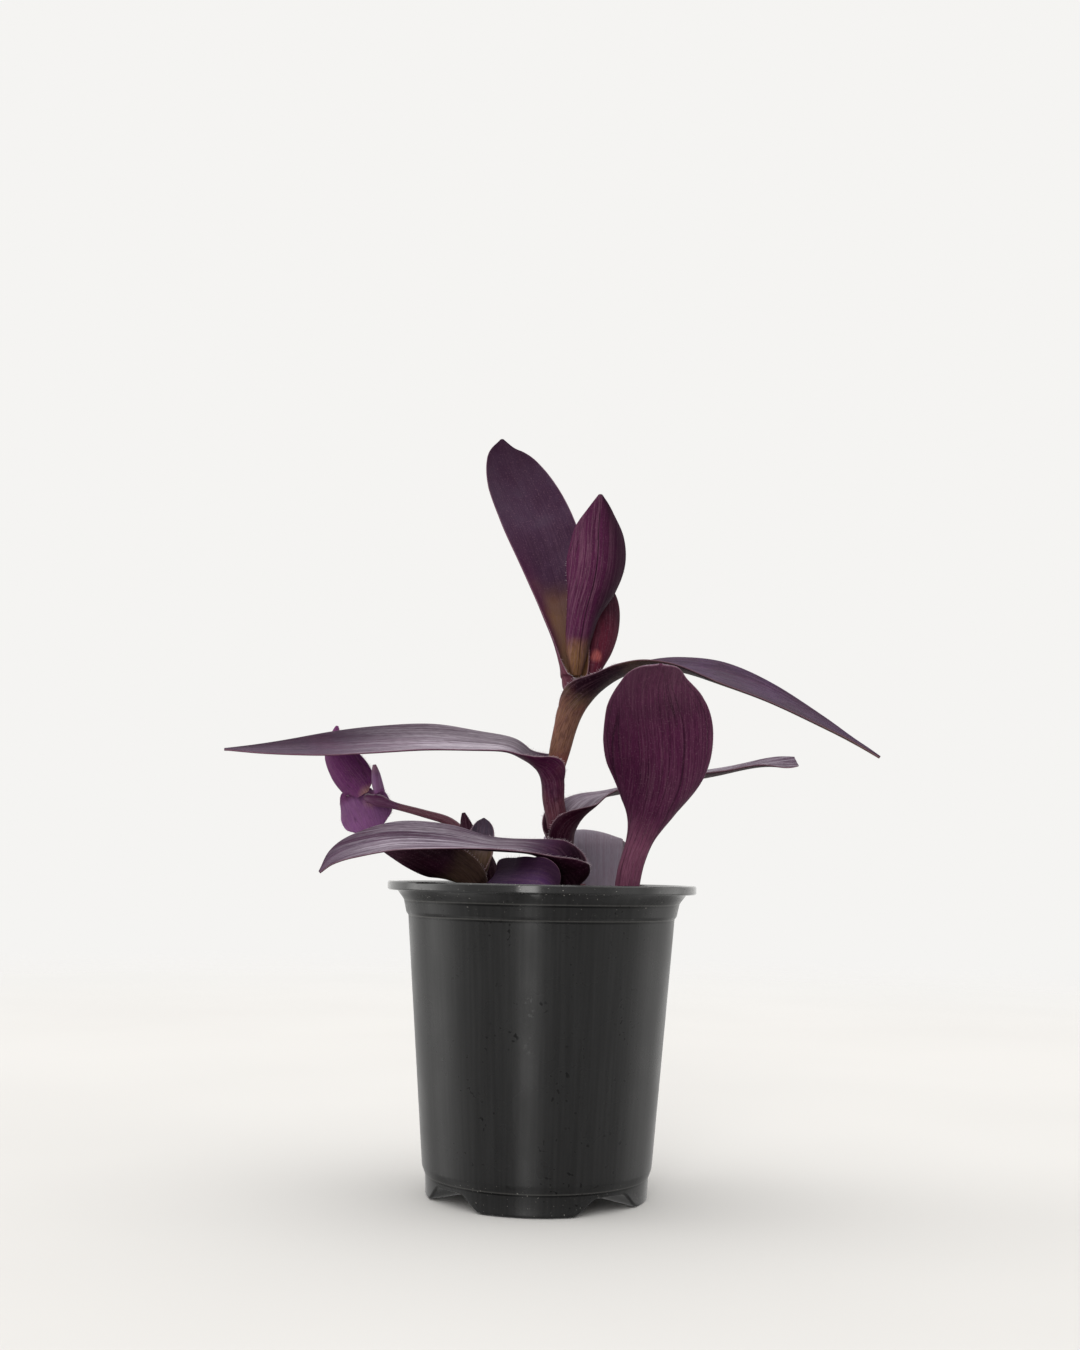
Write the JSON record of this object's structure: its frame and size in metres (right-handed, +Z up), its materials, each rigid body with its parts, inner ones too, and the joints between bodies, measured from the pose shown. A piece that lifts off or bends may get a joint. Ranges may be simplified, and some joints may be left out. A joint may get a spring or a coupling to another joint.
{
  "type": "potted tradescantia",
  "caption": "Purple-leaved tradescantia with rolled leaf sheaths, arching strap leaves and a small flower shoot, in a round black nursery pot filled with soil.",
  "frame": {"origin": "on the standing surface, under the middle of the pot, which is also the middle of the plant's box", "axes": "+Z up, the way the plant grows; -Y is the pictured front; +X is the picture's right"},
  "size_m": [0.2238, 0.1384, 0.2612],
  "materials": {
    "pot_plastic": "satin, faint soft streaks",
    "potting_soil": "dull, crumbly",
    "stem_skin": "satin",
    "stalk_skin": "satin",
    "upper_leaf": "waxy bloom on dark purple",
    "under_leaf": "satin plum, veined",
    "dark_leaf": "satin dark red-purple",
    "olive_leaf": "waxy, olive towards the foot",
    "bract_skin": "thin, violet"
  },
  "bodies": {
    "root": {"pot": "pot_plastic", "soil": "potting_soil", "stem_main": "stem_skin", "stem_left": "stem_skin", "stem_front": "stem_skin", "stem_right": "stem_skin", "stem_back": "stem_skin", "flower_stalk": "stalk_skin", "leaf_right_back": "upper_leaf", "leaf_left_arch": "upper_leaf", "leaf_right_arch": "upper_leaf", "leaf_upper_left": "olive_leaf", "leaf_upper_front": "under_leaf", "leaf_upper_inner": "dark_leaf", "leaf_front_spoon": "under_leaf", "leaf_low_back": "upper_leaf", "leaf_low_left": "upper_leaf", "leaf_low_front": "upper_leaf", "leaf_low_dark": "dark_leaf", "leaf_low_fold": "olive_leaf", "leaf_low_tip": "dark_leaf", "bract_upper": "bract_skin", "bract_lower": "bract_skin", "bract_bud": "bract_skin"}
  },
  "joints": []
}
